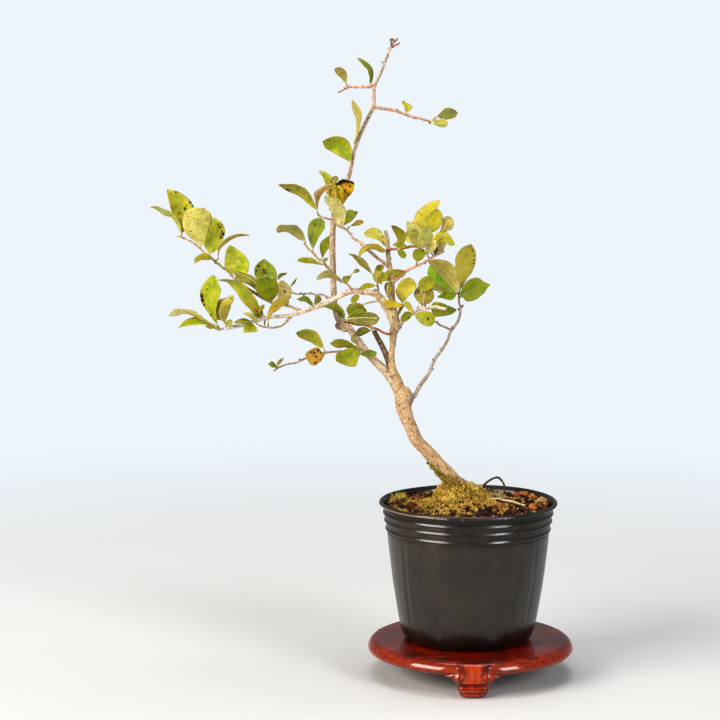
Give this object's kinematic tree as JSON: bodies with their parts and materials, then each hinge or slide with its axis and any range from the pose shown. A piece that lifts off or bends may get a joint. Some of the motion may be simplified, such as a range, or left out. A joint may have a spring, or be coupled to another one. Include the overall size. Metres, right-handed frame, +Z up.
{
  "type": "princess persimmon bonsai",
  "caption": "Small autumn persimmon tree with a bent trunk and sparse obovate leaves, in a tapered nursery pot with soil and moss, on a round three-footed lacquered stand.",
  "frame": {"origin": "bottom centre of the whole object's box, at the height of the soles of the stand's feet; the pot's axis is about 54 mm to the +X side because the crown leans towards -X", "axes": "+Z up; -Y is the front, towards the viewer of the reference view; the crown leans to -X"},
  "size_m": [0.225, 0.1104, 0.3383],
  "materials": {
    "bark": "thin pale tan-pink bark with fine fissures and grey patches, darker knots",
    "lacquered_wood": "red-brown gloss lacquer over turned and carved wood, brighter orange at the edges",
    "pot_plastic": "thin black moulded plastic, dusty and slightly glossy, with rings under the rim",
    "soil": "dark moist granular soil with baked clay granules",
    "moss": "short dense moss, golden yellow to green",
    "clay_granule": "rough porous baked clay",
    "dry_root": "pale dry rootlet",
    "leaf_green": "thin leaf, olive green turning yellow, fine veins and dark specks",
    "leaf_autumn_yellow": "thin autumn leaf, yellow to ochre with dark blotches",
    "leaf_underside": "thin leaf seen from its pale khaki underside"
  },
  "bodies": {
    "root": {"tree_wood": "bark", "stand_top": "lacquered_wood", "stand_foot_front": "lacquered_wood", "stand_foot_back_left": "lacquered_wood", "stand_foot_back_right": "lacquered_wood", "nursery_pot": "pot_plastic", "soil": "soil", "moss_mound": "moss", "moss_cushion_front": "moss", "moss_cushion_left": "moss", "moss_cushion_right": "moss", "soil_granule_large": "clay_granule", "dry_rootlet": "dry_root", "leaf_upper_left_tip_pair": "leaf_green", "leaf_upper_left_broad_pale": "leaf_underside", "leaf_upper_left_spur_group": "leaf_green", "leaf_upper_left_light": "leaf_green", "leaf_upper_left_inner_group": "leaf_green", "leaf_upper_left_dark_group": "leaf_green", "leaf_left_hanging_ochre": "leaf_autumn_yellow", "leaf_left_tip_flat_group": "leaf_green", "leaf_left_tip_upright_group": "leaf_green", "leaf_left_branch_low_pair": "leaf_green", "leaf_left_branch_long": "leaf_autumn_yellow", "leaf_left_branch_small_pale": "leaf_underside", "leaf_left_stub_small": "leaf_autumn_yellow", "leaf_mid_twig_tip_pair": "leaf_green", "leaf_mid_twig_high_pair": "leaf_green", "leaf_leader_spotted_pair": "leaf_autumn_yellow", "leaf_mid_twig_pale_group": "leaf_underside", "leaf_short_twig_end_pair": "leaf_green", "leaf_short_twig_side_group": "leaf_green", "leaf_small_shoot_group": "leaf_green", "leaf_behind_leader": "leaf_green", "leaf_left_limb_curled_pair": "leaf_green", "leaf_top_left_tip": "leaf_green", "leaf_top_left_inner": "leaf_green", "leaf_leader_narrow": "leaf_underside", "leaf_top_right_small": "leaf_autumn_yellow", "leaf_top_right_tip_pair": "leaf_green", "leaf_leader_broad": "leaf_green", "leaf_centre_top_pair": "leaf_autumn_yellow", "leaf_centre_left_pair": "leaf_green", "leaf_centre_spur_group": "leaf_green", "leaf_centre_brown": "leaf_underside", "leaf_centre_yellow_group": "leaf_autumn_yellow", "leaf_low_right_pair": "leaf_green", "leaf_low_right_upper_group": "leaf_green", "leaf_right_green_group": "leaf_green", "leaf_right_upright": "leaf_green", "leaf_right_end_pair": "leaf_green", "leaf_high_right_yellow_group": "leaf_autumn_yellow", "leaf_high_right_low_group": "leaf_green", "leaf_high_right_twig_group": "leaf_green", "leaf_lower_left_dark_group": "leaf_green", "leaf_lower_left_limb_group": "leaf_green", "leaf_lower_left_spotted_pair": "leaf_autumn_yellow", "leaf_lower_left_tip_pair": "leaf_autumn_yellow"}
  },
  "joints": []
}
